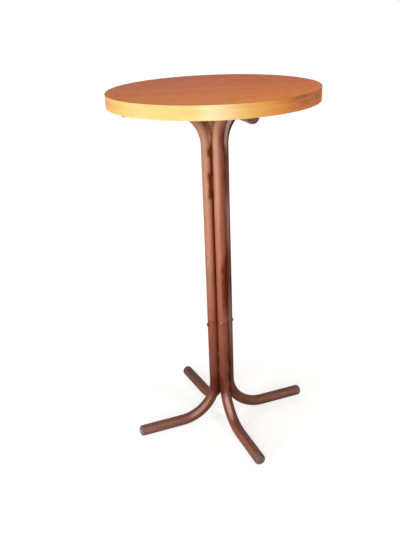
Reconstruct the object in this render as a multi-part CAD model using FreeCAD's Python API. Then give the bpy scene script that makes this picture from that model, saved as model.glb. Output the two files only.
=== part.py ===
import FreeCAD, Part
import math
import os

# Pub table: a round wooden top on a column of bent steel tubes.
# Millimetres. The origin is on the floor under the column's axis, +Z is up.
# The feet and arms of the tubes point away from the axis, those of the first along +X.

# Overall
table_height = 1100.0
top_diameter = 608.0

# Top: a core on a backing sheet in a solid wood lipping, with a face veneer over both
veneer_thickness = 0.8
veneer_edge_bevel = 0.4
core_thickness = 25.0
backing_thickness = 0.8
lipping_thickness = 8.0
edge_depth = 38.5             # top's visible edge: veneer and lipping
lipping_rebate = 6.0          # ledge under the board's edge
lipping_bottom_round = 2.0
lipping_segments = 4
lipping_seam_azimuth = 51.8
lipping_seam_gap = 0.2
glue_line = 0.1               # board to lipping

# Tubes of the column
tube_count = 4
tube_diameter = 35.0
tube_wall = 1.5
tube_gap = 0.3                # between neighbouring tubes
foot_bend_radius = 123.0      # to the tube's centre line
arm_bend_radius = 118.0
foot_reach = 297.0            # column axis to the end of the foot plug
arm_end_inset = 41.0          # end of the arm plug inside the top's rim
swung_leg = 2                 # this leg is turned about its own stem
leg_swing = 5.0
swung_arm = 3                 # and this arm about its own
arm_swing = -7.0
arm_seat_gap = 0.1            # arm to backing sheet

# Joint between the lower and the upper frame
joint_height = 372.0
joint_gap = 0.4
joint_chamfer = 1.0
sleeve_length = 110.0
sleeve_wall = 2.0
sleeve_clearance = 0.05

# Lock screws, from outside through a leg's stem into its sleeve
locked_legs = (1, 3)
lock_screw_drop = 16.0        # below the joint
lock_screw_diameter = 6.0
lock_head_diameter = 10.5
lock_head_height = 3.3
lock_head_round = 2.2
lock_socket_width = 4.0
lock_socket_depth = 1.8
lock_tip_past_sleeve = 2.0

# Arm screws, from below through an arm into the board
arm_screw_diameter = 5.0
arm_screw_bite = 17.0         # length inside the core
arm_screw_tip = 4.0
arm_screw_point_diameter = 0.8
arm_screw_inset = 22.0        # from each end of the arm's straight run
arm_head_diameter = 10.0
arm_head_height = 3.4
arm_head_round = 2.0
cross_slot_length = 6.0
cross_slot_width = 1.3
cross_slot_depth = 1.8

# Fits of the screws
screw_hole_clearance = 0.25   # radial, in tube and backing
screw_thread_clearance = 0.05  # radial, in sleeve and core
screw_head_gap = 0.05         # head to tube

# Push-in plugs in the tubes' mouths, their heads as wide as the tube
foot_plug_head = 11.0
foot_plug_round = 10.0
arm_plug_head = 3.0
arm_plug_round = 2.2
plug_stem_diameter = 26.0
plug_stem_length = 18.0
plug_rib_count = 3
plug_rib_thickness = 2.0
plug_rib_place = 0.75         # rib's far side in its share of the stem
plug_clearance = 0.1

# Weld beads in the grooves between neighbouring tubes
bead_radius = 4.2
bead_standoff = 5.6           # bead's axis outside the tubes' contact line
bead_clearance = 0.05         # bead to tube surface
tack_length = 14.0
tack_clear_of_bend = 9.0      # bead end to the start of the bend
stitch_lengths = (36.0, 40.0, 46.0, 54.0)
stitch_drops = (92.0, 100.0, 108.0, 68.0)   # arm bend to the stitch's centre
lower_stitch_length = 24.0
lower_stitch_rise = 52.0      # foot bend to the stitch's centre
lower_stitch_spacing = 58.0

edge_match = 1e-6             # tolerance for finding a circular edge
cutter_length = 2 * tube_diameter

# Worked out from the above
tube_radius = tube_diameter / 2
bore_radius = tube_radius - tube_wall
top_radius = top_diameter / 2
board_radius = top_radius - lipping_thickness - glue_line
veneer_bottom = table_height - veneer_thickness
core_bottom = veneer_bottom - core_thickness
board_bottom = core_bottom - backing_thickness
column_radius = (tube_diameter + tube_gap) / (2 * math.sin(math.pi / tube_count))
arm_reach = top_radius - arm_end_inset
foot_axis_height = tube_radius
arm_axis_height = board_bottom - arm_seat_gap - tube_radius
foot_bend_start = foot_axis_height + foot_bend_radius
arm_bend_start = arm_axis_height - arm_bend_radius
foot_mouth = foot_reach - foot_plug_head
arm_mouth = arm_reach - arm_plug_head
foot_run = foot_mouth - column_radius - foot_bend_radius
arm_run = arm_mouth - column_radius - arm_bend_radius
sleeve_radius = bore_radius - sleeve_clearance
lock_screw_height = joint_height - lock_screw_drop
arm_screw_places = (
    column_radius + arm_bend_radius + arm_screw_inset,
    column_radius + arm_bend_radius + arm_run - arm_screw_inset,
)
azimuths = [k * 360.0 / tube_count for k in range(tube_count)]
leg_swings = {swung_leg: leg_swing}
arm_swings = {swung_arm: arm_swing}

origin = FreeCAD.Vector(0, 0, 0)
x_axis = FreeCAD.Vector(1, 0, 0)
y_axis = FreeCAD.Vector(0, 1, 0)
z_axis = FreeCAD.Vector(0, 0, 1)


def point(x, y, z):
    return FreeCAD.Vector(x, y, z)


def moved(shape, x, y, z):
    placed = shape.copy()
    placed.translate(point(x, y, z))
    return placed


def turned(shape, azimuth, axis=z_axis, centre=origin):
    placed = shape.copy()
    placed.rotate(centre, axis, azimuth)
    return placed


def placed(shape, index, swings):
    """A +X tube's piece at its own azimuth, turned about its stem where that tube is swung."""
    angle = math.radians(azimuths[index])
    stem = point(column_radius * math.cos(angle), column_radius * math.sin(angle), 0)
    swing = swings.get(index + 1, 0.0)
    return turned(turned(shape, azimuths[index]), swing, z_axis, stem)


def write(name, shape):
    shape.exportStep("parts/" + name + ".step")


def disc(radius, bottom, thickness):
    return Part.makeCylinder(radius, thickness, point(0, 0, bottom), z_axis)


def circle_edges(solid, radius, height):
    """The solid's whole circular edges of one radius at one height."""
    found = []
    for edge in solid.Edges:
        curve = edge.Curve
        if not isinstance(curve, Part.Circle):
            continue
        if abs(curve.Radius - radius) < edge_match and abs(curve.Center.z - height) < edge_match:
            found.append(edge)
    return found


# Top

def face_veneer():
    """Face sheet out to the rim, its upper edge eased."""
    sheet = disc(top_radius, veneer_bottom, veneer_thickness)
    return sheet.makeChamfer(veneer_edge_bevel, circle_edges(sheet, top_radius, table_height))


def lipping_profile():
    """Half section of the lipping in the XZ plane, with its rebate for the board."""
    outer = top_radius
    inner = top_radius - lipping_thickness
    ledge = inner - lipping_rebate
    bottom = table_height - edge_depth
    cut_back = lipping_bottom_round * (1 - math.sqrt(0.5))
    low_start = point(outer - lipping_bottom_round, 0, bottom)
    low_mid = point(outer - cut_back, 0, bottom + cut_back)
    low_end = point(outer, 0, bottom + lipping_bottom_round)
    outer_top = point(outer, 0, veneer_bottom)
    inner_top = point(inner, 0, veneer_bottom)
    rebate_corner = point(inner, 0, board_bottom)
    ledge_high = point(ledge, 0, board_bottom)
    ledge_low = point(ledge, 0, bottom)
    edges = [
        Part.makeLine(ledge_low, low_start),
        Part.Arc(low_start, low_mid, low_end).toShape(),
        Part.makeLine(low_end, outer_top),
        Part.makeLine(outer_top, inner_top),
        Part.makeLine(inner_top, rebate_corner),
        Part.makeLine(rebate_corner, ledge_high),
        Part.makeLine(ledge_high, ledge_low),
    ]
    return Part.Face(Part.Wire(edges))


def lipping_segment(index):
    share = 360.0 / lipping_segments
    seam = math.degrees(lipping_seam_gap / top_radius)
    start = lipping_seam_azimuth + index * share + seam / 2
    segment = lipping_profile().revolve(origin, z_axis, share - seam)
    return turned(segment, start)


def screw_spots():
    """Centres of the arm screws in plan."""
    spots = []
    for index in range(tube_count):
        for radius in arm_screw_places:
            spot = placed(Part.Vertex(point(radius, 0, 0)), index, arm_swings)
            spots.append((spot.X, spot.Y))
    return spots


def board_core():
    core = disc(board_radius, core_bottom, core_thickness)
    hole_radius = arm_screw_diameter / 2 + screw_thread_clearance
    for x, y in screw_spots():
        hole = Part.makeCylinder(hole_radius, arm_screw_bite, point(x, y, core_bottom), z_axis)
        core = core.cut(hole)
    return core


def backing_sheet():
    sheet = disc(board_radius, board_bottom, backing_thickness)
    hole_radius = arm_screw_diameter / 2 + screw_hole_clearance
    for x, y in screw_spots():
        hole = Part.makeCylinder(hole_radius, backing_thickness, point(x, y, board_bottom), z_axis)
        sheet = sheet.cut(hole)
    return sheet


# Tubes

def ring_face(outer, inner, centre, normal):
    rim = Part.Face(Part.Wire(Part.makeCircle(outer, centre, normal)))
    bore = Part.Face(Part.Wire(Part.makeCircle(inner, centre, normal)))
    return rim.cut(bore).Faces[0]


def chamfered_stem(length):
    """Straight tube from the origin up, its lower rim chamfered where it meets its partner."""
    corners = [
        point(bore_radius, 0, 0),
        point(tube_radius - joint_chamfer, 0, 0),
        point(tube_radius, 0, joint_chamfer),
        point(tube_radius, 0, length),
        point(bore_radius, 0, length),
        point(bore_radius, 0, 0),
    ]
    return Part.Face(Part.makePolygon(corners)).revolve(origin, z_axis, 360)


def bent_tube(stem, bend, run):
    """Tube that rises from the origin, bends towards +X and runs out level."""
    turn = ring_face(tube_radius, bore_radius, point(0, 0, stem), z_axis)
    mouth = ring_face(tube_radius, bore_radius, point(bend, 0, stem + bend), x_axis)
    elbow = turn.revolve(point(bend, 0, stem), y_axis, 90)
    reach = mouth.extrude(point(run, 0, 0))
    return chamfered_stem(stem).fuse([elbow, reach]).removeSplitter()


def upright_tube():
    """Upper tube of the +X arm, with its holes for the arm screws."""
    base = joint_height + joint_gap / 2
    tube = bent_tube(arm_bend_start - base, arm_bend_radius, arm_run)
    tube = moved(tube, column_radius, 0, base)
    hole_radius = arm_screw_diameter / 2 + screw_hole_clearance
    for place in arm_screw_places:
        foot = point(place, 0, arm_axis_height - tube_diameter)
        tube = tube.cut(Part.makeCylinder(hole_radius, cutter_length, foot, z_axis))
    return tube


def leg_tube():
    """Lower tube of the +X foot."""
    top = joint_height - joint_gap / 2
    tube = bent_tube(top - foot_bend_start, foot_bend_radius, foot_run)
    return moved(turned(tube, 180, x_axis), column_radius, 0, top)


def joint_sleeve():
    """Inner sleeve that carries the upright on the leg."""
    base = joint_height - sleeve_length / 2
    sleeve = disc(sleeve_radius, base, sleeve_length)
    sleeve = sleeve.cut(disc(sleeve_radius - sleeve_wall, base, sleeve_length))
    return moved(sleeve, column_radius, 0, 0)


def drilled(shape, clearance):
    """A +X leg's tube or sleeve with the hole for its lock screw."""
    radius = lock_screw_diameter / 2 + clearance
    start = point(column_radius, 0, lock_screw_height)
    return shape.cut(Part.makeCylinder(radius, tube_diameter, start, x_axis))


# Fasteners

def domed_head(diameter, height, rounding):
    """Screw head on the XY plane, its rim rounded, rising along +Z."""
    head = Part.makeCylinder(diameter / 2, height)
    return head.makeFillet(rounding, circle_edges(head, diameter / 2, height))


def lock_screw():
    """Button-head screw: head outside the leg's stem, tip just inside the sleeve."""
    head = domed_head(lock_head_diameter, lock_head_height, lock_head_round)
    corners = []
    for side in range(7):
        angle = math.radians(60 * side)
        reach = lock_socket_width / math.sqrt(3)
        corners.append(point(reach * math.cos(angle), reach * math.sin(angle), lock_head_height))
    socket = Part.Face(Part.makePolygon(corners)).extrude(point(0, 0, -lock_socket_depth))
    seat = tube_radius + screw_head_gap
    shank_length = seat - (sleeve_radius - sleeve_wall) + lock_tip_past_sleeve
    shank = Part.makeCylinder(lock_screw_diameter / 2, shank_length, point(0, 0, -shank_length), z_axis)
    screw = head.cut(socket).fuse(shank)
    return moved(turned(screw, 90, y_axis), column_radius + seat, 0, lock_screw_height)


def arm_screw():
    """Pan-head wood screw under the arm, its point up in the core."""
    head = domed_head(arm_head_diameter, arm_head_height, arm_head_round)
    slot_bottom = arm_head_height - cross_slot_depth
    for across, along in ((cross_slot_length, cross_slot_width), (cross_slot_width, cross_slot_length)):
        corner = point(-across / 2, -along / 2, slot_bottom)
        head = head.cut(Part.makeBox(across, along, cross_slot_depth, corner))
    head = turned(head, 180, x_axis)
    seat = arm_axis_height - tube_radius - screw_head_gap
    straight = core_bottom + arm_screw_bite - arm_screw_tip - seat
    radius = arm_screw_diameter / 2
    shank = Part.makeCylinder(radius, straight)
    tip = Part.makeCone(
        radius, arm_screw_point_diameter / 2, arm_screw_tip, point(0, 0, straight), z_axis)
    return moved(head.fuse([shank, tip]).removeSplitter(), 0, 0, seat)


# Plastic ends

def tube_plug(length, rounding, mouth, height):
    """Ribbed insert with a rounded head, in the mouth of a tube that runs out along +X."""
    head = Part.makeCylinder(tube_radius, length)
    head = head.makeFillet(rounding, circle_edges(head, tube_radius, length))
    stem = disc(plug_stem_diameter / 2, -plug_stem_length, plug_stem_length)
    pitch = plug_stem_length / plug_rib_count
    ribs = []
    for rib in range(plug_rib_count):
        ribs.append(disc(bore_radius - plug_clearance, -pitch * (rib + plug_rib_place), plug_rib_thickness))
    plug = head.fuse([stem] + ribs).removeSplitter()
    return moved(turned(plug, 90, y_axis), mouth, 0, height)


# Welds

def weld_bead(groove, centre, length):
    """Round-ended bead in the groove between a tube and the next one round."""
    half = 180.0 / tube_count
    distance = column_radius * math.cos(math.radians(half)) + bead_standoff
    straight = length - 2 * bead_radius
    low = centre - straight / 2
    bead = Part.makeCylinder(bead_radius, straight, point(distance, 0, low), z_axis)
    for end in (low, low + straight):
        bead = bead.fuse(Part.makeSphere(bead_radius, point(distance, 0, end)))
    for side in (-half, half):
        angle = math.radians(side)
        foot = point(
            column_radius * math.cos(angle), column_radius * math.sin(angle), centre - cutter_length / 2)
        bead = bead.cut(Part.makeCylinder(tube_radius + bead_clearance, cutter_length, foot, z_axis))
    return turned(bead.removeSplitter(), azimuths[groove] + half)


def upper_weld_beads():
    """A short tack and a longer stitch in each groove, under the arms' bends."""
    tack = arm_bend_start - tack_clear_of_bend - tack_length / 2
    beads = []
    for groove in range(tube_count):
        pick = groove % len(stitch_lengths)
        beads.append(weld_bead(groove, tack, tack_length))
        beads.append(weld_bead(groove, arm_bend_start - stitch_drops[pick], stitch_lengths[pick]))
    return Part.makeCompound(beads)


def lower_weld_beads():
    """Two stitches in each groove, above the feet's bends."""
    beads = []
    for groove in range(tube_count):
        for stitch in range(2):
            centre = foot_bend_start + lower_stitch_rise + stitch * lower_stitch_spacing
            beads.append(weld_bead(groove, centre, lower_stitch_length))
    return Part.makeCompound(beads)


# Build

os.makedirs("parts", exist_ok=True)

write("face_veneer", face_veneer())
write("board_core", board_core())
write("backing_sheet", backing_sheet())
for index in range(lipping_segments):
    write("edge_lipping_%d" % (index + 1), lipping_segment(index))

leg_pieces = {
    "leg_tube": leg_tube(),
    "joint_sleeve": joint_sleeve(),
    "foot_plug": tube_plug(foot_plug_head, foot_plug_round, foot_mouth, foot_axis_height),
}
locked_pieces = {
    "leg_tube": drilled(leg_pieces["leg_tube"], screw_hole_clearance),
    "joint_sleeve": drilled(leg_pieces["joint_sleeve"], screw_thread_clearance),
    "lock_screw": lock_screw(),
}
arm_pieces = {
    "upright_tube": upright_tube(),
    "arm_plug": tube_plug(arm_plug_head, arm_plug_round, arm_mouth, arm_axis_height),
    "inner_arm_screw": moved(arm_screw(), arm_screw_places[0], 0, 0),
    "outer_arm_screw": moved(arm_screw(), arm_screw_places[1], 0, 0),
}
for index in range(tube_count):
    own = dict(leg_pieces)
    if index + 1 in locked_legs:
        own.update(locked_pieces)
    for name, piece in own.items():
        write("%s_%d" % (name, index + 1), placed(piece, index, leg_swings))
    for name, piece in arm_pieces.items():
        write("%s_%d" % (name, index + 1), placed(piece, index, arm_swings))

write("upper_weld_beads", upper_weld_beads())
write("lower_weld_beads", lower_weld_beads())
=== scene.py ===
import math

import bpy
from mathutils import Color, Euler, Matrix, Vector


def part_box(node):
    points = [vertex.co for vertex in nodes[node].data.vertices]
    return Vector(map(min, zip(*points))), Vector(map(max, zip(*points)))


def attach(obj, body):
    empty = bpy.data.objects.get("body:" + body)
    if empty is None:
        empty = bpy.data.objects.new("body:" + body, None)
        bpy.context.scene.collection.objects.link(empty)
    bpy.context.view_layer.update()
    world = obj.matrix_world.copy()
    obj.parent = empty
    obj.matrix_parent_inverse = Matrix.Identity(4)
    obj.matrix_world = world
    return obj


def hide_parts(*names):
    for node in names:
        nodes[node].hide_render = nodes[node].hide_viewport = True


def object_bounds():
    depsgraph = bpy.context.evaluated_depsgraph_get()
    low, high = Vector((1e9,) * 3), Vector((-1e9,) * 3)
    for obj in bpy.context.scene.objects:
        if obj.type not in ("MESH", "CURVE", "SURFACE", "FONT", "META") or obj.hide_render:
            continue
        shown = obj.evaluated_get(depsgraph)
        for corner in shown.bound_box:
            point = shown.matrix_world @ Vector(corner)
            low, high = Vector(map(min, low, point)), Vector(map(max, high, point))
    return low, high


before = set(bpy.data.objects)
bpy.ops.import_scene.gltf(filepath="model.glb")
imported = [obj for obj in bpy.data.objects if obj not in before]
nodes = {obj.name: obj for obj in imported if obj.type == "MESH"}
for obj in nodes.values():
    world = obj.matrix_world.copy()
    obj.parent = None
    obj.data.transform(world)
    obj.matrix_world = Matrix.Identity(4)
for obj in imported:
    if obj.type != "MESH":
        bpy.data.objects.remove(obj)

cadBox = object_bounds()
topRadius = cadBox[1][0]
tableHeight = cadBox[1][2]
print("frame loaded:", len(nodes), "nodes")


# Shader maths

class Wire:  # an output socket; arithmetic on it adds Math nodes
    def __init__(self, paint, socket):
        self.paint = paint
        self.socket = socket

    def math(self, operation, first, second=0.0):
        return self.paint.node("ShaderNodeMath", {"operation": operation}, {0: first, 1: second})

    def __add__(self, other):
        return self.math("ADD", self, other)

    __radd__ = __add__

    def __mul__(self, other):
        return self.math("MULTIPLY", self, other)

    __rmul__ = __mul__

    def __sub__(self, other):
        return self.math("SUBTRACT", self, other)

    def __rsub__(self, other):
        return self.math("SUBTRACT", other, self)

    def __neg__(self):
        return 0 - self

    def __abs__(self):
        return self.math("ABSOLUTE", self)

    def over(self, low, high):  # 0 below low, 1 above high, smooth between
        return self.paint.node(
            "ShaderNodeMapRange", {"interpolation_type": "SMOOTHSTEP"},
            {"Value": self, "From Min": low, "From Max": high})

    def under(self, low, high):  # 1 below low, 0 above high
        return 1 - self.over(low, high)

    def between(self, low, high):  # 0 to 1 made low to high
        return self * (high - low) + low

    def most(self, other):
        return self.math("MAXIMUM", self, other)

    def least(self, other):
        return self.math("MINIMUM", self, other)


class Paint:  # the nodes of one material, or of the world
    def __init__(self, owner):
        self.owner = owner
        owner.use_nodes = True
        self.tree = owner.node_tree
        self.tree.nodes.clear()
        self.place = self.node("ShaderNodeTexCoord", output="Object")

    def node(self, kind, settings=None, inputs=None, output=0):
        made = self.tree.nodes.new(kind)
        for key, value in (settings or {}).items():
            if key == "stops":
                self.setStops(made.color_ramp, value)
            else:
                setattr(made, key, value)
        for key, value in (inputs or {}).items():
            if isinstance(value, Wire):
                self.tree.links.new(value.socket, made.inputs[key])
            else:
                made.inputs[key].default_value = value
        return made if output is None else Wire(self, made.outputs[output])

    def setStops(self, ramp, stops):
        while len(ramp.elements) < len(stops):
            ramp.elements.new(0.5)
        for element, (position, colour) in zip(ramp.elements, stops):
            element.position = position
            element.color = colour

    def turned(self, place, turn, shift=(0, 0, 0)):  # turned about Z, then moved
        return self.node(
            "ShaderNodeMapping", {"vector_type": "POINT"},
            {"Vector": place, "Rotation": (0, 0, -turn), "Location": shift})

    def noise(self, place, scale=1.0, detail=2, rough=0.5, twist=0.0):
        return self.node(
            "ShaderNodeTexNoise", None,
            {"Vector": place, "Scale": scale, "Detail": detail, "Roughness": rough,
             "Distortion": twist})

    def stretched(self, stretch, turn=0.0, shift=(0, 0, 0)):  # a high stretch makes a fine pattern
        place = self.turned(self.place, turn, shift)
        return self.node(
            "ShaderNodeMapping", {"vector_type": "POINT"}, {"Vector": place, "Scale": stretch})

    def grain(self, stretch, turn=0.0, shift=(0, 0, 0), **noise):
        return self.noise(self.stretched(stretch, turn, shift), **noise)

    def axes(self, place=None):
        made = self.node("ShaderNodeSeparateXYZ", None, {0: place or self.place}, None)
        return [Wire(self, output) for output in made.outputs]

    def joined(self, x, y, z):
        return self.node("ShaderNodeCombineXYZ", None, {"X": x, "Y": y, "Z": z})

    def vectorValue(self, operation, first, second=(0, 0, 0)):
        return self.node(
            "ShaderNodeVectorMath", {"operation": operation}, {0: first, 1: second}, "Value")

    def fromAxis(self, x, y):  # distance from the table's upright axis
        return self.vectorValue("LENGTH", self.joined(x, y, 0.0))

    def azimuth(self, x, y):
        return self.node("ShaderNodeMath", {"operation": "ARCTAN2"}, {0: y, 1: x})

    def mixed(self, factor, first, second):  # the numbers are the colour sockets of Mix
        return self.node("ShaderNodeMix", {"data_type": "RGBA"}, {0: factor, 6: first, 7: second}, 2)

    def lay(self, where, colour):  # puts a colour over the coat, as far as the share says
        self.coat = self.mixed(where, self.coat, colour)

    def ramp(self, factor, stops):
        return self.node("ShaderNodeValToRGB", {"stops": stops}, {"Fac": factor})

    def shares(self, value, stops, reach=1.0):  # a share for each value from -reach to reach
        placed = [((at / reach + 1) / 2, (share, share, share, 1)) for at, share in stops]
        return self.ramp(value * (0.5 / reach) + 0.5, placed)

    def bump(self, height, depth, strength):
        return self.node(
            "ShaderNodeBump", None, {"Height": height, "Distance": depth, "Strength": strength})

    def finish(self, inputs):  # the Principled shader and the output
        shader = self.node("ShaderNodeBsdfPrincipled", None, inputs)
        self.node("ShaderNodeOutputMaterial", None, {"Surface": shader}, None)
        return self.owner


def newPaint(name):
    return Paint(bpy.data.materials.new(name))


def weighed(weights, *waves):  # the sum of the waves, each times its weight
    return sum(wave * weight for wave, weight in zip(waves, weights))


def tone(red, green, blue):  # a colour as it looks on screen, 0 to 255, made linear
    linear = Color((red / 255, green / 255, blue / 255)).from_srgb_to_scene_linear()
    return (*linear, 1.0)


def family(start):  # the CAD nodes that are alike, in order
    return sorted(name for name in nodes if name.startswith(start))


def dress(material, *names):  # gives CAD nodes a material in every slot
    for name in names:
        for slot in nodes[name].material_slots:
            slot.material = material


# Camera, floor and light

view = {
    "place": (-0.7191, -1.7651, 1.3541),
    "heading": math.radians(-20.43),         # from +Y, counted towards -X
    "down": math.radians(22.76),
    "roll": math.radians(-2.447),
    "lens": 44.47,
    "film": 36.0,                            # along the frame's long side
}


def makeCamera():
    bpy.ops.object.camera_add(location=view["place"])
    camera = bpy.context.object
    camera.name = "viewCamera"
    aim = Euler((math.pi / 2 - view["down"], 0, view["heading"])).to_matrix()
    camera.rotation_euler = (aim @ Matrix.Rotation(view["roll"], 3, "Z")).to_euler()
    camera.data.sensor_fit = "VERTICAL"
    camera.data.sensor_height = view["film"]
    camera.data.lens = view["lens"]
    bpy.context.scene.camera = camera


studio = {
    "floorSize": 40.0,
    "floorTone": (0.62, 0.62, 0.62, 1.0),
    "glow": (0.72, 1.0),                     # near and far, only for the camera: the lit floor is white
    "glowReach": (0.9, 2.4),
    "worldLevel": 0.10, "worldTone": (1, 1, 1, 1),
    "lampColour": (1.0, 0.97, 0.93),
    "lamps": {                               # each aims at a height on the table's axis
        "window": {"azimuth": -182, "reach": 1.90, "height": 0.72, "size": (1.4, 1.2), "power": 12.0,
                   "aimHeight": 0.72},
        "low": {"azimuth": -146, "reach": 1.80, "height": 0.30, "size": (0.3, 0.5), "power": 14.2,
                "aimHeight": 0.60},
        "front": {"azimuth": -116, "reach": 2.10, "height": 0.88, "size": (0.45, 0.35), "power": 13.0,
                  "aimHeight": 0.90, "colour": (1.0, 0.98, 0.95)},
        "ceiling": {"azimuth": 90, "reach": 0.01, "height": 2.40, "size": (0.7, 0.7), "power": 11.5,
                    "aimHeight": 1.10},
        "right": {"azimuth": -60, "reach": 1.10, "height": 1.90, "size": (0.3, 0.3), "power": 5.6,
                  "aimHeight": 1.08},
        "back": {"azimuth": 75, "reach": 2.20, "height": 1.50, "size": (0.9, 0.9), "power": 12.0,
                 "aimHeight": 0.70, "shines": False},
    },
}


def seenByCamera(paint):  # 1 for rays that show the background itself
    seen, gloss, through = [
        paint.node("ShaderNodeLightPath", output="Is " + kind + " Ray")
        for kind in ("Camera", "Glossy", "Transmission")]
    return seen.most(gloss).most(through)


def floorPaint():
    paint = newPaint("paleFloor")
    x, y = paint.axes()[:2]
    glowLevel = paint.fromAxis(x, y).over(*studio["glowReach"]).between(*studio["glow"])
    diffuse = paint.node("ShaderNodeBsdfDiffuse", None, {"Color": studio["floorTone"]})
    glow = paint.node("ShaderNodeEmission", None, {"Strength": seenByCamera(paint) * glowLevel})
    both = paint.node("ShaderNodeAddShader", None, {0: diffuse, 1: glow})
    paint.node("ShaderNodeOutputMaterial", None, {"Surface": both}, None)
    return paint.owner


def makeWorld():
    world = bpy.data.worlds.new("studioWorld")
    bpy.context.scene.world = world
    paint = Paint(world)
    level = seenByCamera(paint).between(studio["worldLevel"], 1.0)
    sky = paint.node("ShaderNodeBackground", None, {"Color": studio["worldTone"], "Strength": level})
    paint.node("ShaderNodeOutputWorld", None, {"Surface": sky}, None)


def makeLamp(name, lamp):
    azimuth = math.radians(lamp["azimuth"])
    reach = lamp["reach"]
    place = Vector((reach * math.cos(azimuth), reach * math.sin(azimuth), lamp["height"]))
    aim = Vector((0, 0, lamp["aimHeight"]))
    bpy.ops.object.light_add(type="AREA", location=place)
    made = bpy.context.object
    made.name = name + "Lamp"
    made.rotation_euler = (place - aim).to_track_quat("Z", "Y").to_euler()
    made.data.shape = "RECTANGLE"
    made.data.size, made.data.size_y = lamp["size"]
    made.data.energy = lamp["power"]
    made.data.color = lamp.get("colour", studio["lampColour"])
    made.visible_glossy = lamp.get("shines", True)


def makeStudio():
    bpy.ops.mesh.primitive_plane_add(size=studio["floorSize"])
    floor = bpy.context.object
    floor.name = "paleFloor"
    floor.data.materials.append(floorPaint())
    makeWorld()
    for name, lamp in studio["lamps"].items():
        makeLamp(name, lamp)
    bpy.context.scene.view_settings.view_transform = "Standard"


makeCamera()
makeStudio()
print("camera, floor and lamps set")


# The wooden top

veneer = {
    "grainTurn": math.radians(-20),          # azimuth of the grain
    "driftTurn": math.radians(68),           # from the golden side to the shady side
    "streaks": {"stretch": (2, 24, 2), "detail": 4, "rough": 0.55, "twist": 0.6},
    "lines": {"stretch": (6, 170, 6), "detail": 5, "rough": 0.6, "twist": 0.3},
    "pores": {"stretch": (40, 1300, 40), "detail": 2}, "poreRange": (0.60, 0.70),
    "patches": {"stretch": (3, 6.5, 3), "detail": 2}, "patchRange": (0.35, 0.68),
    "rubs": {"scale": 38, "detail": 4, "rough": 0.6}, "rubRange": (0.35, 0.75),
    "weights": (0.62, 0.38),                 # of streaks and lines
    "figure": ((0.37, tone(160, 78, 30)), (0.50, tone(184, 97, 42)), (0.63, tone(202, 117, 56))),
    "redder": tone(176, 86, 46), "redderShare": 0.5,
    "warm": tone(186, 92, 20), "warmShare": 0.4, "warmRange": (-0.04, 0.16),
    "drift": 0.25,                           # how far the streaks move the sides' edge
    "shady": tone(162, 80, 52), "shadyShare": 0.75, "shadyRange": (-0.05, 0.33),
    "golden": tone(212, 124, 44), "goldenShare": 0.6, "goldenRange": (-0.32, 0.05),
    "pore": tone(126, 58, 26), "poreShare": 0.45,
    "rim": tone(178, 116, 56), "rimShare": (0.2, 0.6), "rimRange": (0.282, 0.302),
    "roughness": (0.42, 0.54), "specular": 0.02,
    "relief": (0.5, -0.7),                   # of lines and pores
    "bump": {"depth": 0.00012, "strength": 0.5},
}


def veneerPaint():
    paint = newPaint("varnishedVeneer")
    turn = veneer["grainTurn"]
    streaks, lines, pores, patches = [
        paint.grain(turn=turn, **veneer[name]) for name in ("streaks", "lines", "pores", "patches")]
    pores = pores.over(*veneer["poreRange"])
    patches = patches.over(*veneer["patchRange"])
    paint.coat = paint.ramp(weighed(veneer["weights"], streaks, lines), veneer["figure"])
    paint.lay(patches * veneer["redderShare"], veneer["redder"])
    along = paint.axes(paint.turned(paint.place, turn))[0]
    paint.lay(along.over(*veneer["warmRange"]) * veneer["warmShare"], veneer["warm"])
    across = paint.axes(paint.turned(paint.place, veneer["driftTurn"]))[0]
    drift = across + (streaks - 0.5) * veneer["drift"]
    paint.lay(drift.over(*veneer["shadyRange"]) * veneer["shadyShare"], veneer["shady"])
    paint.lay(drift.under(*veneer["goldenRange"]) * veneer["goldenShare"], veneer["golden"])
    paint.lay(pores * veneer["poreShare"], veneer["pore"])
    x, y = paint.axes()[:2]
    nearRim = paint.fromAxis(x, y).over(*veneer["rimRange"])
    paint.lay(nearRim * patches.between(*veneer["rimShare"]), veneer["rim"])
    rubs = paint.noise(paint.place, **veneer["rubs"]).over(*veneer["rubRange"])
    return paint.finish({
        "Base Color": paint.coat, "Roughness": rubs.between(*veneer["roughness"]),
        "Specular IOR Level": veneer["specular"],
        "Normal": paint.bump(weighed(veneer["relief"], lines, pores), **veneer["bump"])})


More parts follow.
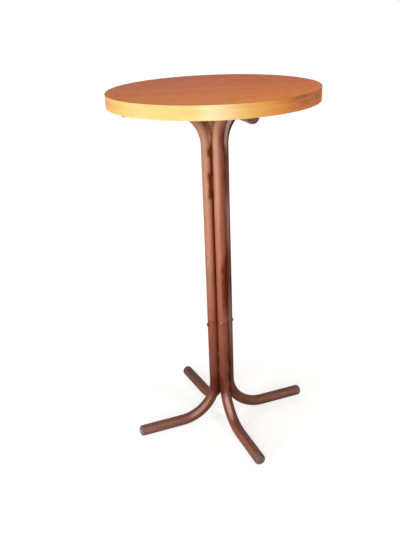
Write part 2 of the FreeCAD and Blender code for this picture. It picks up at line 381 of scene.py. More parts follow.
lipping = {
    "grain": (5.0, 150, 210),                # how fine: along the arc, outward and up
    "fleck": (55, 500, 1500),
    "grainShift": 7.3, "fleckShift": 3.1,    # from one length to the next
    "streaks": {"scale": 0.22, "detail": 3, "rough": 0.5, "twist": 0.4},
    "lines": {"scale": 1.0, "detail": 5, "rough": 0.6, "twist": 0.3},
    "pores": {"scale": 1.0, "detail": 2}, "poreRange": (0.62, 0.72),
    "weights": (0.6, 0.4),                   # of streaks and lines
    # the figure's grain is the wood's own; its pale yellow is painted light, left bare where little redder
    # wood is laid
    "figure": ((0.34, tone(232, 190, 98)), (0.5, tone(244, 206, 111)), (0.66, tone(248, 216, 128))),
    "slant": 1.5, "slantHeight": 1.08,       # how the redder and paler places lean, about this height
    "ragged": 0.6,                           # how much the streaks break their edges
    # painted sheen: the pale shine of the varnish in the front light
    "pale": tone(250, 220, 168),
    "paleness": (                            # azimuth from each length's middle, share of the painted sheen
        ((-0.8, 0.0), (0.8, 0.0)),
        ((-0.8, 0.0), (0.8, 0.1)),
        ((-0.8, 0.1), (-0.66, 0.15), (-0.55, 0.5), (-0.38, 0.7), (-0.24, 0.1), (-0.15, 0.0), (0.8, 0.0)),
        ((-0.8, 0.0), (0.8, 0.0)),
    ),
    "redder": tone(238, 138, 52),
    "redness": (                             # the same, share of redder wood; where it is low, the pale figure is painted light
        ((-0.8, 0.45), (0.8, 0.75)),
        ((-0.6, 1.0), (-0.38, 0.95), (-0.175, 0.75), (0.0, 0.42), (0.13, 0.18), (0.45, 0.04), (0.8, 0.04)),
        ((-0.8, 0.08), (-0.4, 0.05), (-0.25, 0.28), (-0.1, 0.54), (0.05, 0.78), (0.22, 1.0), (0.8, 1.0)),
        ((-0.8, 1.0), (0.8, 0.55)),
    ),
    "brown": tone(170, 76, 18),              # a figure in the redder wood, deeper towards the top edge
    "brownness": ((-0.8, 0.1), (0.0, 0.1), (0.2, 0.4), (0.36, 1.0), (0.55, 1.0), (0.8, 0.6)),
    "brownFigure": {"scale": 1.0, "detail": 4, "rough": 0.6, "twist": 0.6}, "brownRange": (0.25, 0.6),
    "brownArc": 9, "brownUp": 60, "brownLean": 4,
    "brownHeights": (1.064, 1.092), "brownShare": (0.4, 0.95),
    "pore": tone(206, 146, 76), "poreShare": 0.35,
    "varnish": (                             # azimuth round the top, share of varnish left
        (-3.142, 0.45), (-2.7, 1.0), (-1.25, 1.0), (-0.85, 0.15), (1.6, 0.4), (3.142, 0.45)),
    "varnishRoughness": 0.36,
    "roughness": (0.5, 0.6), "specular": 0.06,
    "relief": (0.5, -0.6),                   # of lines and pores
    "bump": {"depth": 0.00012, "strength": 0.5},
}


def lippingPaint(index, midAzimuth):
    paint = newPaint("varnishedLipping" + str(index + 1))
    x, y, z = paint.axes(paint.turned(paint.place, midAzimuth))
    outward = paint.fromAxis(x, y)
    around = paint.azimuth(x, y)
    arc = around * topRadius

    def along(scales, shift):  # place on this length, counted along its bend
        return paint.joined(arc * scales[0] + index * shift, outward * scales[1], z * scales[2])

    grain = along(lipping["grain"], lipping["grainShift"])
    streaks = paint.noise(grain, **lipping["streaks"])
    lines = paint.noise(grain, **lipping["lines"])
    fleck = along(lipping["fleck"], lipping["fleckShift"])
    pores = paint.noise(fleck, **lipping["pores"]).over(*lipping["poreRange"])
    paint.coat = paint.ramp(weighed(lipping["weights"], streaks, lines), lipping["figure"])
    slant = around + (z - lipping["slantHeight"]) * lipping["slant"]
    slant = slant + (streaks - 0.5) * lipping["ragged"]
    # painted sheen, then redder wood away from the painted light
    paint.lay(paint.shares(slant, lipping["paleness"][index]), lipping["pale"])
    redder = paint.shares(slant, lipping["redness"][index])
    paint.lay(redder, lipping["redder"])
    leaning = z * lipping["brownUp"] - arc * lipping["brownLean"]
    figured = paint.noise(
        paint.joined(arc * lipping["brownArc"] + index, 0.0, leaning), **lipping["brownFigure"])
    brown = figured.over(*lipping["brownRange"]) * redder * paint.shares(slant, lipping["brownness"])
    upper = z.over(*lipping["brownHeights"]).between(*lipping["brownShare"])
    paint.lay(brown * upper, lipping["brown"])
    paint.lay(pores * lipping["poreShare"], lipping["pore"])
    plainX, plainY = paint.axes()[:2]
    bearing = paint.azimuth(plainX, plainY)
    return paint.finish({
        "Base Color": paint.coat, "Roughness": lines.between(*lipping["roughness"]),
        "Specular IOR Level": lipping["specular"],
        "Coat Weight": paint.shares(bearing, lipping["varnish"], math.pi),
        "Coat Roughness": lipping["varnishRoughness"],
        "Normal": paint.bump(weighed(lipping["relief"], lines, pores), **lipping["bump"])})


core = {
    "chips": (260, 260, 520),
    "shade": {"scale": 420, "detail": 3, "rough": 0.6},
    "weights": (0.6, 0.4),                   # of chips and shade
    "figure": ((0.2, tone(120, 92, 60)), (0.8, tone(204, 176, 132))),
    "roughness": 0.85,
    "bump": {"depth": 0.0004, "strength": 0.6},
}


def corePaint():  # pressed chips
    paint = newPaint("chipCore")
    place = paint.stretched(core["chips"])
    chips = paint.node("ShaderNodeTexVoronoi", None, {"Vector": place, "Scale": 1.0}, "Distance")
    shade = paint.noise(paint.place, **core["shade"])
    wood = paint.ramp(weighed(core["weights"], chips, shade), core["figure"])
    return paint.finish({
        "Base Color": wood, "Roughness": core["roughness"],
        "Normal": paint.bump(chips, **core["bump"])})


backing = {
    "lines": {"stretch": (5, 130, 5), "detail": 4, "rough": 0.6, "twist": 0.3},
    "cloud": {"scale": 9, "detail": 3, "rough": 0.55},
    "weights": (0.6, 0.4),                   # of lines and cloud
    "figure": ((0.3, tone(96, 62, 40)), (0.7, tone(142, 100, 68))),
    "roughness": (0.55, 0.70),
    "bump": {"depth": 0.0001, "strength": 0.5},
}


def backingPaint():  # brown balancing sheet, faint grain, rubbed
    paint = newPaint("brownBacking")
    lines = paint.grain(turn=veneer["grainTurn"], **backing["lines"])
    cloud = paint.noise(paint.place, **backing["cloud"])
    sheet = paint.ramp(weighed(backing["weights"], lines, cloud), backing["figure"])
    return paint.finish({
        "Base Color": sheet, "Roughness": cloud.between(*backing["roughness"]),
        "Normal": paint.bump(lines, **backing["bump"])})


def dressTop():
    dress(veneerPaint(), "face_veneer")
    dress(corePaint(), "board_core")
    dress(backingPaint(), "backing_sheet")
    for index, name in enumerate(family("edge_lipping")):
        low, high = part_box(name)
        middle = (Vector(low) + Vector(high)) / 2
        dress(lippingPaint(index, math.atan2(middle.y, middle.x)), name)


dressTop()
print("top dressed")


# Lacquered tubes: the sound coat first, and then one kind of wear, painted highlight or painted shade over
# another. Where a list of pairs is named for sides, a pair is an azimuth round the column and the share of
# wear or painted light there, and where it is named for heights, a height above the floor and a share. Two
# numbers alone are the places between which a share rises or falls, or a share's own two ends.

jointHeight = (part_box("leg_tube_1")[1][2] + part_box("upright_tube_1")[0][2]) / 2

lacquer = {
    "coats": {                               # share of deeper brown, share of gloss
        "upperLacquer": (0.0, 1.0),
        "legLacquer": (0.2, 0.7),
        "weldLacquer": (0.3, 0.1),
    },
    "farOut": (0.07, 0.25),                  # from the axis, along the feet and arms
    "clouds": {"stretch": (1, 1, 0.3), "scale": 24, "detail": 4, "rough": 0.55, "twist": 0.5},
    "mottle": {"stretch": (1, 1, 0.3), "scale": 95, "detail": 4, "rough": 0.6, "twist": 0.4},
    "speckle": {"scale": 700, "detail": 2},
    "weights": (0.45, 0.40, 0.15),           # of clouds, mottle and speckle
    "figure": ((0.33, tone(122, 55, 30)), (0.49, tone(160, 80, 48)), (0.66, tone(182, 101, 66))),
    "rosy": tone(156, 82, 64), "rosyShare": 0.45, "rosyRange": (0.5, 0.72),
    "rosyNoise": {"scale": 17, "detail": 3},
    "olive": tone(136, 88, 44), "oliveShare": 0.4, "oliveRange": (0.52, 0.7),
    "oliveNoise": {"stretch": (1, 1, 0.5), "shift": (3, 1, 2), "scale": 31, "detail": 3},
    "deep": tone(104, 46, 28),
    # painted shade by height: deeper low down and close under the top
    "deepHeights": (
        (0.0, 0.2), (0.19, 0.7), (0.26, 0.5), (0.33, 0.12), (0.41, 0.45), (0.50, 0.25), (0.6, 0.08),
        (0.7, 0.0), (0.92, 0.0), (0.95, 0.3), (0.99, 0.6), (1.1, 0.6)),
    "roughness": (0.55, 0.71),
    "gloss": {"Specular IOR Level": 0.0, "Coat Roughness": 0.44, "Coat IOR": 1.52},
    "dulling": (1.35, 0.6),                  # of the gloss, by the soil and painted shade, and by the painted shade where the feet part
    "relief": (0.6, 0.25, -0.25),            # of clouds, mottle, and worn places with the joint glint
    "bump": {"depth": 0.0006, "strength": 0.3},
}


class TubePaint(Paint):  # a coat, with the measures that its wear and its painted light and shade follow
    def __init__(self, name):
        super().__init__(bpy.data.materials.new(name))
        self.deepShare, self.glossShare = lacquer["coats"][name]
        x, y, self.z = self.axes()
        self.column = self.fromAxis(x, y)
        self.around = self.azimuth(x, y)
        self.normal = self.node("ShaderNodeTexCoord", output="Normal")
        self.east, self.north, self.up = self.axes(self.normal)
        self.farOut = self.column.over(*lacquer["farOut"])
        self.clouds = self.grain(**lacquer["clouds"])
        self.mottle = self.grain(**lacquer["mottle"])

    def bySide(self, stops, around=None):
        return self.shares(around or self.around, stops, math.pi)

    def byHeight(self, stops):
        return self.shares(self.z, stops, tableHeight)


def sprayCoat(paint):  # brown with rosy and olive clouds, with painted shade deeper towards the bottom of the column and under the top
    speckle = paint.noise(paint.place, **lacquer["speckle"])
    paint.coat = paint.ramp(
        weighed(lacquer["weights"], paint.clouds, paint.mottle, speckle), lacquer["figure"])
    rosy = paint.noise(paint.place, **lacquer["rosyNoise"]).over(*lacquer["rosyRange"])
    paint.lay(rosy * lacquer["rosyShare"], lacquer["rosy"])
    olive = paint.grain(**lacquer["oliveNoise"]).over(*lacquer["oliveRange"])
    paint.lay(olive * lacquer["oliveShare"], lacquer["olive"])
    lower = paint.byHeight(lacquer["deepHeights"]) + paint.deepShare
    paint.lay((1 - paint.farOut) * lower, lacquer["deep"])


fading = {
    # painted highlight: a paler tan down the sides of the column that face the light, and along the feet
    "tone": tone(200, 148, 114),
    "sides": (
        (-3.142, 0.40), (-2.65, 0.40), (-2.40, 0.15), (-1.95, 0.16), (-1.55, 0.0), (2.6, 0.0),
        (3.142, 0.40)),
    "heights": (0.38, 0.74), "feet": 0.6,
    "bleachedSides": ((-3.142, 0.0), (-2.25, 0.0), (-2.0, 0.4), (-1.8, 0.3), (-1.55, 0.0), (3.142, 0.0)),
    "bleachedHeights": (0.64, 0.82),
    "inner": tone(226, 168, 132),            # painted light: paler where the arms part, under the top
    "innerReach": (0.024, 0.034), "innerHeights": (0.935, 0.965),
}


def fadeCoat(paint):
    # painted highlight on the sides that face the light, then painted light where the arms part
    upward = paint.z.over(*fading["heights"]).most(paint.farOut * fading["feet"])
    bleached = paint.bySide(fading["bleachedSides"]) * paint.z.over(*fading["bleachedHeights"])
    paint.lay(paint.bySide(fading["sides"]) * upward + bleached, fading["tone"])
    paint.inner = paint.column.under(*fading["innerReach"]) * paint.z.over(*fading["innerHeights"])
    paint.lay(paint.inner, fading["inner"])


soil = {
    # soil, and painted shade: deeper brown on the sides of the column turned from the light, and low down
    "tone": lacquer["deep"],
    "sides": (
        (-3.142, 0.0), (-1.55, 0.0), (-1.4, 0.25), (-1.28, 0.6), (-1.15, 0.9), (-0.8, 0.9), (-0.62, 0.7),
        (-0.5, 0.6), (-0.38, 0.65), (-0.2, 0.8), (1.0, 0.35), (1.5, 0.65), (2.0, 0.65), (2.5, 0.2),
        (3.142, 0.0)),
    "heights": (
        (0.0, 0.5), (0.28, 0.3), (0.36, 0.35), (0.47, 1.0), (0.58, 1.0), (0.64, 0.7), (0.74, 0.6),
        (0.8, 0.5), (0.95, 0.75)),
    "lowSides": (
        (-3.142, 0.2), (-2.5, 0.1), (-2.2, 0.1), (-1.6, 0.05), (-1.42, 0.1), (-1.27, 0.75), (-1.1, 0.9),
        (-0.9, 0.95), (-0.7, 0.9), (-0.6, 0.3), (-0.5, 0.0), (0.5, 0.3), (2.5, 0.3), (3.142, 0.45)),
    "lowHeights": (0.3, 0.46),
    "ragged": 0.9,                           # how far the mottle moves the edges of the soil and painted shade
    "widening": (                            # height, share by which the soil and painted shade spread sideways
        (0.0, 0.0), (0.38, 0.0), (0.43, 1.0), (0.55, 1.0), (0.6, 0.2), (0.93, 0.2), (0.97, 0.45),
        (1.1, 0.5)),
    "widened": 0.4, "widenedSides": (-1.15, -0.9),
    "grey": tone(78, 46, 38), "greyHeights": (0.28, 0.38),
    "greySides": ((-3.142, 0.24), (-2.4, 0.24), (-2.1, 0.0), (3.142, 0.0)),
}


def soilCoat(paint):
    # soil and painted shade on the sides turned from the light
    widening = paint.byHeight(soil["widening"]) * paint.around.under(*soil["widenedSides"])
    ragged = paint.around + (paint.mottle - 0.5) * soil["ragged"] + widening * soil["widened"]
    upper = paint.bySide(soil["sides"], ragged) * paint.byHeight(soil["heights"]) * (1 - paint.inner)
    lower = paint.bySide(soil["lowSides"], ragged) * paint.z.under(*soil["lowHeights"])
    paint.soiled = upper.most(lower * (1 - paint.farOut))
    paint.lay(paint.soiled, soil["tone"])
    greyed = paint.bySide(soil["greySides"]) * paint.z.under(*soil["greyHeights"])
    paint.lay(greyed * (1 - paint.farOut), soil["grey"])


stripe = {                                   # painted highlight: a pale streak down one side of the column
    "tone": tone(210, 150, 136), "cloudiness": (0.4, 1.4),
    "sides": ((-3.142, 0.0), (-0.76, 0.0), (-0.6, 1.0), (-0.5, 1.0), (-0.36, 0.0), (3.142, 0.0)),
    "heights": (
        (0.0, 0.0), (0.2, 0.05), (0.3, 0.2), (0.33, 0.45), (0.43, 0.45), (0.5, 0.1), (0.58, 0.1),
        (0.64, 0.6), (0.74, 0.7), (0.80, 0.1), (1.1, 0.0)),
}


def stripeCoat(paint):
    # painted highlight
    streak = paint.bySide(stripe["sides"]) * paint.byHeight(stripe["heights"])
    streak = streak * paint.clouds.between(*stripe["cloudiness"])
    paint.lay(streak * (1 - paint.farOut), stripe["tone"])


rimShade = {                                 # deeper brown on the arms, close under the top
    "tone": lacquer["deep"], "heights": (0.975, 1.03),
    "sides": (
        (-3.142, 0.6), (-2.3, 0.6), (-2.1, 0.1), (-1.7, 0.1), (-1.4, 0.35), (0.0, 0.3), (3.142, 0.6)),
}


def shadeRim(paint):
    nearRim = paint.z.over(*rimShade["heights"]) * paint.bySide(rimShade["sides"])
    paint.lay(nearRim * (1 - paint.inner), rimShade["tone"])


dusting = {
    "tone": tone(130, 101, 90), "cloudiness": (0.32, 0.82),
    "sides": ((-3.142, 1.0), (-2.2, 1.0), (-1.7, 0.4), (-1.4, 0.4), (-0.9, 1.0), (3.142, 1.0)),
    "scuffed": tone(190, 132, 112), "scuffMottle": (0.5, 1.5),
    "scuffedSides": ((-3.142, 0.0), (-0.6, 0.0), (-0.25, 0.35), (0.25, 0.35), (0.6, 0.0), (3.142, 0.0)),
    "scuffedReach": (0.035, 0.07), "scuffedHeights": (0.2, 0.3),
}


def dustFeet(paint):
    dusty = paint.farOut * paint.clouds.between(*dusting["cloudiness"])
    paint.lay(dusty * paint.bySide(dusting["sides"]), dusting["tone"])
    scuffed = paint.bySide(dusting["scuffedSides"]) * paint.column.over(*dusting["scuffedReach"])
    scuffed = scuffed * paint.z.under(*dusting["scuffedHeights"])
    paint.lay(scuffed * paint.mottle.between(*dusting["scuffMottle"]), dusting["scuffed"])


rubbing = {
    # painted highlights: pale on the bends that face one way and on the front of the arms
    "tone": tone(206, 172, 160),
    "way": (-0.32, -0.71, 0.63), "facing": (0.87, 0.99),     # the way that the bends with the painted highlight face
    "bendStart": (0.033, 0.054), "bendEnd": (0.09, 0.16), "bendHeights": (0.16, 0.24),
    "cloudiness": 1.6,
    "lessSides": (-2.4, -2.1), "lessShare": (0.6, 1.0),
    "arm": tone(250, 212, 200),              # painted highlight on the front of the arms
    "armFacing": (0.6, 0.95), "armHeights": (0.90, 0.955),
    "armSides": ((-3.142, 0.0), (-0.85, 0.0), (-0.7, 0.85), (-0.12, 0.85), (-0.04, 0.0), (3.142, 0.0)),
    "armAway": (0.35, 0.65), "armAwayFrom": 0.93, "armAwaySlope": 5,
}


def rubCoat(paint):
    # painted highlight on the bends that face the light, then on the front of the arms
    facing = paint.vectorValue("DOT_PRODUCT", paint.normal, rubbing["way"]).over(*rubbing["facing"])
    atBend = paint.column.over(*rubbing["bendStart"]) * paint.column.under(*rubbing["bendEnd"])
    rubbed = facing * atBend * paint.z.under(*rubbing["bendHeights"])
    rubbed = rubbed * (paint.clouds * rubbing["cloudiness"])
    rubbed = rubbed * paint.around.over(*rubbing["lessSides"]).between(*rubbing["lessShare"])
    paint.lay(rubbed, rubbing["tone"])
    rubbedArm = (-paint.north).over(*rubbing["armFacing"]) * paint.bySide(rubbing["armSides"])
    steeper = (paint.z - rubbing["armAwayFrom"]) * rubbing["armAwaySlope"]
    turnedAway = (paint.east + steeper).over(*rubbing["armAway"])
    paint.lay(rubbedArm * paint.z.over(*rubbing["armHeights"]) * (1 - turnedAway), rubbing["arm"])


dirt = {
    "edge": tone(78, 46, 38),                # painted shade along the flanks of the feet and on their undersides
    "ways": (                                # upward share of the normal, share of painted shade
        (-1.0, 0.7), (-0.3, 0.7), (0.1, 0.3), (0.35, 0.0), (0.7, 0.0), (0.92, 0.42), (1.0, 0.42)),
    "edgeReach": (0.045, 0.09), "edgeHeights": (0.1, 0.2),
    "flankSides": ((-3.142, 0.0), (-1.75, 0.0), (-1.6, 1.0), (-1.0, 1.0), (-0.9, 0.0), (3.142, 0.0)),
    "flankFacing": (0.45, 0.85), "flankHeights": (0.2, 0.3), "flankShare": 0.6,
    "shadeFacing": (0.70, 0.96), "shadeShare": 0.8,
    # soot colour for the dark runs, and painted shade on the back foot
    "sooty": tone(64, 44, 40),
    "sootySides": ((-3.142, 0.0), (0.9, 0.0), (1.4, 0.35), (1.9, 0.35), (2.2, 0.0), (3.142, 0.0)),
    "runs": {"scale": 150, "detail": 4, "rough": 0.6, "twist": 0.3}, "runStretch": 0.1,
    "darkRuns": (0.46, 0.66), "darkShare": 0.5,
    "pale": rubbing["tone"], "paleRuns": (0.3, 0.44), "paleShare": 0.3,
}


def soilFeet(paint):
    # painted shade on the flanks and undersides of the feet, dirt runs along them, and painted shade on
    # the back foot
    edges = paint.shares(paint.up, dirt["ways"]) * paint.column.over(*dirt["edgeReach"])
    edges = edges * paint.z.under(*dirt["edgeHeights"])
    onFlank = paint.bySide(dirt["flankSides"])
    flank = paint.east.over(*dirt["flankFacing"]) * onFlank * paint.z.under(*dirt["flankHeights"])
    shade = (-paint.east).over(*dirt["shadeFacing"]) * onFlank * paint.farOut
    paint.lay(edges.most(flank * dirt["flankShare"]).most(shade * dirt["shadeShare"]), dirt["edge"])
    alongFoot = paint.joined(paint.around * paint.column, paint.column * dirt["runStretch"], paint.z)
    runs = paint.noise(alongFoot, **dirt["runs"])
    paint.lay(runs.over(*dirt["darkRuns"]) * paint.farOut * dirt["darkShare"], dirt["sooty"])
    paint.lay(runs.under(*dirt["paleRuns"]) * paint.farOut * dirt["paleShare"], dirt["pale"])
    paint.lay(paint.farOut * paint.bySide(dirt["sootySides"]), dirt["sooty"])


scorching = {                                # heat-darkened near the upper welds
    "tone": tone(106, 50, 16), "most": 0.9, "mottle": (0.55, 1.35),
    "zones": ((0.912, 0.930), (0.785, 0.858)), "inside": 0.004, "outside": 0.012,
    "reach": (0.0315, 0.0395), "ragged": 0.014,
    "sides": ((-3.142, 1.0), (-2.4, 1.0), (-2.3, 0.3), (-0.2, 0.3), (0.4, 1.0), (3.142, 1.0)),
}


def scorchCoat(paint):
    inside, outside = scorching["inside"], scorching["outside"]
    near = sum(
        paint.z.over(low - outside, low + inside) * paint.z.under(high - inside, high + outside)
        for low, high in scorching["zones"])
    toGroove = (paint.column + (paint.mottle - 0.5) * scorching["ragged"]).under(*scorching["reach"])
    scorched = near * toGroove * paint.mottle.between(*scorching["mottle"])
    paint.scorched = scorched * paint.bySide(scorching["sides"])
    paint.lay(paint.scorched.least(scorching["most"]), scorching["tone"])


settling = {                                 # painted shade above the place where the feet part
    "tone": tone(82, 28, 14), "share": 0.95, "mottle": (0.5, 1.5),
    "fromHeights": (0.085, 0.118), "toHeights": (0.155, 0.188), "reach": (0.04, 0.062),
    "fromSides": (-3.13, -2.9), "toSides": (-1.95, -1.65),
}


def settleDirt(paint):
    # painted shade in the crotch where the feet part, in front
    sides = paint.around.over(*settling["fromSides"]) * paint.around.under(*settling["toSides"])
    heights = paint.z.over(*settling["fromHeights"]) * paint.z.under(*settling["toHeights"])
    settled = heights * paint.column.under(*settling["reach"]) * paint.mottle.between(*settling["mottle"])
    paint.settled = (settled * sides * settling["share"]).least(1)
    paint.lay(paint.settled, settling["tone"])


wearing = {
    # bare metal, and the colour of the painted glint
    "bare": tone(204, 176, 156),
    "joint": (0.0009, 0.0022),               # from the joint line between leg tube and upright
    "jointClouds": (0.50, 0.60), "jointShare": 0.8,
    "scuffs": {"stretch": (1, 1, 0.5), "scale": 160, "detail": 4, "rough": 0.65, "twist": 1.2},
    "scuffRange": (0.66, 0.70), "lowHeights": (0.012, 0.045), "lowShare": 0.8, "farShare": 0.4,
    # a painted glint: a pale spot on the joint's edge of the front tube
    "chip": (-0.0124, -0.0373, jointHeight), "chipRadius": 0.003, "chipEdge": (0.7, 1.4),
    "chipMottle": 0.6,
    # grime and painted shade in the grooves between the tubes; the same brown darkens the joint line
    "grime": tone(112, 42, 12), "grimeReach": (0.0225, 0.0345), "jointGrime": 0.25,
    "grimeHeights": (
        (0.0, 0.95), (0.16, 0.95), (0.2, 0.35), (0.29, 0.3), (0.34, 0.5), (0.42, 0.55), (0.5, 0.85),
        (0.925, 0.95), (0.96, 0.0), (1.1, 0.0)),
}


def wearCoat(paint):  # chips at the joint and a painted glint on its edge, scuffs near the floor, grime and painted shade in the grooves
    jointEdge = abs(paint.z - jointHeight).under(*wearing["joint"])
    lowDown = paint.z.under(*wearing["lowHeights"]) * wearing["lowShare"]
    scuffs = paint.grain(**wearing["scuffs"]).over(*wearing["scuffRange"])
    chips = scuffs.least(lowDown.most(paint.farOut * wearing["farShare"]))
    rubbed = jointEdge * paint.clouds.over(*wearing["jointClouds"])
    # painted glint on the joint
    away = paint.vectorValue("DISTANCE", paint.place, wearing["chip"]) * (1 / wearing["chipRadius"])
    chip = (away + paint.mottle * wearing["chipMottle"]).under(*wearing["chipEdge"])
    paint.worn = chips.most(rubbed * wearing["jointShare"]).most(chip)
    paint.lay(paint.worn, wearing["bare"])
    # painted shade in the grooves, and the dark joint line
    paint.grime = paint.column.under(*wearing["grimeReach"]) * paint.byHeight(wearing["grimeHeights"])
    paint.lay(paint.grime.most(jointEdge * wearing["jointGrime"] - paint.worn), wearing["grime"])


def lacquerPaint(name):
    paint = TubePaint(name)
    for layer in (
            sprayCoat, fadeCoat, soilCoat, stripeCoat, shadeRim, dustFeet, rubCoat, soilFeet,
            scorchCoat, settleDirt, wearCoat):
        layer(paint)
    soilDulls, settledDulls = lacquer["dulling"]
    dull = (paint.soiled * soilDulls).most(paint.scorched).most(paint.grime).most(paint.worn)
    dull = dull.most(paint.settled * settledDulls).least(1)
    relief = weighed(lacquer["relief"], paint.clouds, paint.mottle, paint.worn)
    return paint.finish({
        "Base Color": paint.coat, "Roughness": paint.mottle.between(*lacquer["roughness"]),
        "Coat Weight": (1 - dull) * paint.glossShare, **lacquer["gloss"],
        "Normal": paint.bump(relief, **lacquer["bump"])})


dress(lacquerPaint("upperLacquer"), *family("upright_tube"))
dress(lacquerPaint("legLacquer"), *family("leg_tube"))
print("tubes dressed")


# Steel, rubber and plastic

steel = {
    "brushed": {"stretch": (900, 900, 120), "detail": 3, "rough": 0.6},
    "stain": {"scale": 260, "detail": 4, "rough": 0.6},
    "weights": (0.5, 0.5),                   # of brushing and stain
    "metallic": 0.9,
    "bump": {"depth": 0.00005, "strength": 0.4},
    "finishes": {
        "zincSteel": {
            "figure": ((0.3, tone(150, 146, 138)), (0.7, tone(206, 202, 194))),
            "roughness": (0.28, 0.48)},
        "blackenedSteel": {
            "figure": ((0.3, tone(34, 28, 26)), (0.7, tone(78, 66, 60))),
            "roughness": (0.36, 0.56)},
    },
}


def steelPaint(name):
    paint = newPaint(name)
    finish = steel["finishes"][name]
    brushed = paint.grain(**steel["brushed"])
    stain = paint.noise(paint.place, **steel["stain"])
    metal = paint.ramp(weighed(steel["weights"], brushed, stain), finish["figure"])
    return paint.finish({
        "Base Color": metal, "Metallic": steel["metallic"],
        "Roughness": stain.between(*finish["roughness"]),
        "Normal": paint.bump(brushed, **steel["bump"])})


footPlug = {
    "cloud": {"scale": 85, "detail": 4, "rough": 0.6}, "cloudRange": (0.35, 0.7),
    "grit": {"scale": 620, "detail": 3, "rough": 0.6},
    "rubber": tone(86, 66, 62), "paler": tone(138, 104, 94),
    "dust": tone(184, 158, 146), "dustShare": 0.75, "dustGrit": (0.55, 0.66), "dustCloud": (0.38, 0.6),
    "tip": (0.290, 0.2968), "tipShare": 0.35,        # the end of the plug's head, from the axis
    "rubbedSides": (
        (-3.142, 0.1), (-2.2, 0.0), (-0.8, 0.0), (0.0, 0.3), (0.8, 0.0), (2.4, 0.0), (3.142, 0.1)),
    # darker by side, most on the back plug, where it is painted shade
    "sooty": tone(52, 40, 38),
    "sootySides": (
        (-3.142, 0.0), (-2.2, 0.0), (-1.57, 0.3), (-0.7, 0.1), (0.4, 0.05), (1.2, 0.8), (2.0, 0.8),
        (2.5, 0.0), (3.142, 0.0)),
    "roughness": (0.58, 0.78), "specular": 0.3,
    "relief": (0.5, 0.5),                    # of cloud and grit
    "bump": {"depth": 0.0004, "strength": 0.5},
}


def footPlugPaint():
    paint = newPaint("scuffedRubber")
    x, y = paint.axes()[:2]
    around = paint.azimuth(x, y)
    cloud = paint.noise(paint.place, **footPlug["cloud"])
    grit = paint.noise(paint.place, **footPlug["grit"])
    paint.coat = paint.mixed(
        cloud.over(*footPlug["cloudRange"]), footPlug["rubber"], footPlug["paler"])
    dust = grit.over(*footPlug["dustGrit"]) * cloud.over(*footPlug["dustCloud"]) * footPlug["dustShare"]
    tip = paint.fromAxis(x, y).over(*footPlug["tip"]) * footPlug["tipShare"]
    rubbed = paint.shares(around, footPlug["rubbedSides"], math.pi)
    paint.lay(dust.most(tip).most(rubbed), footPlug["dust"])
    paint.lay(paint.shares(around, footPlug["sootySides"], math.pi), footPlug["sooty"])
    return paint.finish({
        "Base Color": paint.coat, "Roughness": grit.between(*footPlug["roughness"]),
        "Specular IOR Level": footPlug["specular"],
        "Normal": paint.bump(weighed(footPlug["relief"], cloud, grit), **footPlug["bump"])})


armPlug = {
    "cloud": {"scale": 120, "detail": 4, "rough": 0.6}, "cloudRange": (0.3, 0.7),
    "grain": {"scale": 1800, "detail": 2},
    "dark": tone(92, 54, 48), "light": tone(126, 80, 72),
    "roughness": (0.38, 0.53),
    "bump": {"depth": 0.00006, "strength": 0.4},
}


def armPlugPaint():
    paint = newPaint("brownPlastic")
    cloud = paint.noise(paint.place, **armPlug["cloud"])
    grain = paint.noise(paint.place, **armPlug["grain"])
    plastic = paint.mixed(cloud.over(*armPlug["cloudRange"]), armPlug["dark"], armPlug["light"])
    return paint.finish({
        "Base Color": plastic, "Roughness": cloud.between(*armPlug["roughness"]),
        "Normal": paint.bump(grain, **armPlug["bump"])})


def dressSmall():
    dress(steelPaint("zincSteel"),
          *family("joint_sleeve"), *family("inner_arm_screw"), *family("outer_arm_screw"))
    dress(steelPaint("blackenedSteel"), *family("lock_screw"))
    dress(footPlugPaint(), *family("foot_plug"))
    dress(armPlugPaint(), *family("arm_plug"))


dressSmall()
print("small parts dressed")


# Rippled weld beads, in the grooves between the tubes

bead = {
    "radius": 0.0042, "standoff": 0.0056,    # standoff: from the line where two tubes meet
    "ripplePitch": 0.0028,
    "squash": 0.60,                          # height of a ripple over its width
    "swell": 0.07,                           # how much a ripple's width varies
    "waves": (2.4, 3, 90),                   # of the swell, by ripple, azimuth and height
    "segments": 20, "rings": 12,             # of the ball that makes one ripple
    "voxel": 0.0006,
    "seat": 0.00005,                         # left between bead and tube
    "tubeSides": 128, "tubeOverrun": 1.2,    # of the round cutter that stands for a tube
    "smoothAngle": math.radians(50),
    "merge": 1e-6,                           # joins the loose triangles of a CAD solid
}


def clearSelection():
    bpy.ops.object.select_all(action="DESELECT")


def makeActive(piece):
    clearSelection()
    piece.select_set(True)
    bpy.context.view_layer.objects.active = piece


def applyModifier(piece, kind, **settings):
    modifier = piece.modifiers.new(kind.lower(), kind)
    for key, value in settings.items():
        setattr(modifier, key, value)
    makeActive(piece)
    bpy.ops.object.modifier_apply(modifier=modifier.name)


def joinPieces(pieces, name):
    makeActive(pieces[0])
    for piece in pieces:
        piece.select_set(True)
    bpy.ops.object.join()
    joined = bpy.context.object
    joined.name = name
    bpy.ops.object.transform_apply(location=True, rotation=True, scale=True)
    return joined


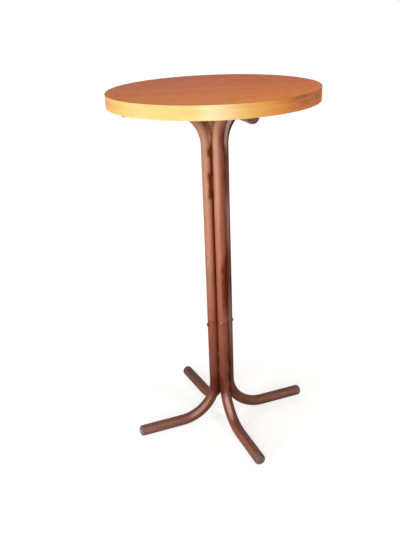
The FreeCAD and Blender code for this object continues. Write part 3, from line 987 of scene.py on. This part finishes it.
def looseBoxes(node):  # low and high corner of each separate solid in a CAD node
    twin = nodes[node].copy()
    twin.data = nodes[node].data.copy()
    bpy.context.collection.objects.link(twin)
    makeActive(twin)
    bpy.ops.object.mode_set(mode="EDIT")
    bpy.ops.mesh.select_all(action="SELECT")
    bpy.ops.mesh.remove_doubles(threshold=bead["merge"])
    bpy.ops.mesh.separate(type="LOOSE")
    bpy.ops.object.mode_set(mode="OBJECT")
    boxes = []
    for part in list(bpy.context.selected_objects):
        sides = list(zip(*(vertex.co for vertex in part.data.vertices)))     # all x, all y, all z
        boxes.append((Vector([min(side) for side in sides]), Vector([max(side) for side in sides])))
        bpy.data.objects.remove(part)
    boxes.sort(key=lambda box: (round(box[0].z, 4), round(box[0].x, 4), round(box[0].y, 4)))
    return boxes


def stemPlaces():  # tube radius, and where each upright stands in plan
    uprights = family("upright_tube")
    low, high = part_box(uprights[0])
    radius = (high[1] - low[1]) / 2
    reach = low[0] + radius
    turns = [index * 2 * math.pi / len(uprights) for index in range(len(uprights))]
    return radius, [(reach * math.cos(turn), reach * math.sin(turn)) for turn in turns]


def rippleRun(low, high, grooveReach):  # a row of flattened balls along one groove
    middle = (low + high) / 2
    azimuth = math.atan2(middle.y, middle.x)
    end = bead["radius"] * bead["squash"]
    steps = max(2, round((high.z - low.z - 2 * end) / bead["ripplePitch"]))
    pitch = (high.z - low.z - 2 * end) / steps
    reach = grooveReach + bead["standoff"]
    byRipple, byAzimuth, byHeight = bead["waves"]
    balls = []
    for step in range(steps + 1):
        wave = math.sin(step * byRipple + azimuth * byAzimuth + low.z * byHeight)
        wide = 1 - bead["swell"] * (0.5 + 0.5 * wave)
        spot = (reach * math.cos(azimuth), reach * math.sin(azimuth), low.z + end + step * pitch)
        clearSelection()
        bpy.ops.mesh.primitive_uv_sphere_add(
            segments=bead["segments"], ring_count=bead["rings"], radius=bead["radius"], location=spot)
        ball = bpy.context.object
        ball.scale = (wide, wide, bead["squash"])
        balls.append(ball)
    return balls


def makeWelds(node, name, material):
    tubeRadius, stems = stemPlaces()
    grooveReach = Vector(stems[0]).length * math.cos(math.pi / len(stems))
    balls = []
    for low, high in looseBoxes(node):
        balls += rippleRun(low, high, grooveReach)
    welds = joinPieces(balls, name)
    applyModifier(welds, "REMESH", mode="VOXEL", voxel_size=bead["voxel"])
    low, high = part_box(node)
    for x, y in stems:
        clearSelection()
        bpy.ops.mesh.primitive_cylinder_add(
            vertices=bead["tubeSides"], radius=tubeRadius + bead["seat"],
            depth=(high[2] - low[2]) * bead["tubeOverrun"], location=(x, y, (low[2] + high[2]) / 2))
        cutter = bpy.context.object
        applyModifier(welds, "BOOLEAN", operation="DIFFERENCE", object=cutter, solver="EXACT")
        bpy.data.objects.remove(cutter)
    makeActive(welds)
    bpy.ops.object.shade_smooth_by_angle(angle=bead["smoothAngle"])
    welds.data.materials.clear()
    welds.data.materials.append(material)
    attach(welds, "root")
    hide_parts(node)
    print(name, len(welds.data.polygons), "faces")


weldPaint = lacquerPaint("weldLacquer")
makeWelds("upper_weld_beads", "upperWelds", weldPaint)
makeWelds("lower_weld_beads", "lowerWelds", weldPaint)
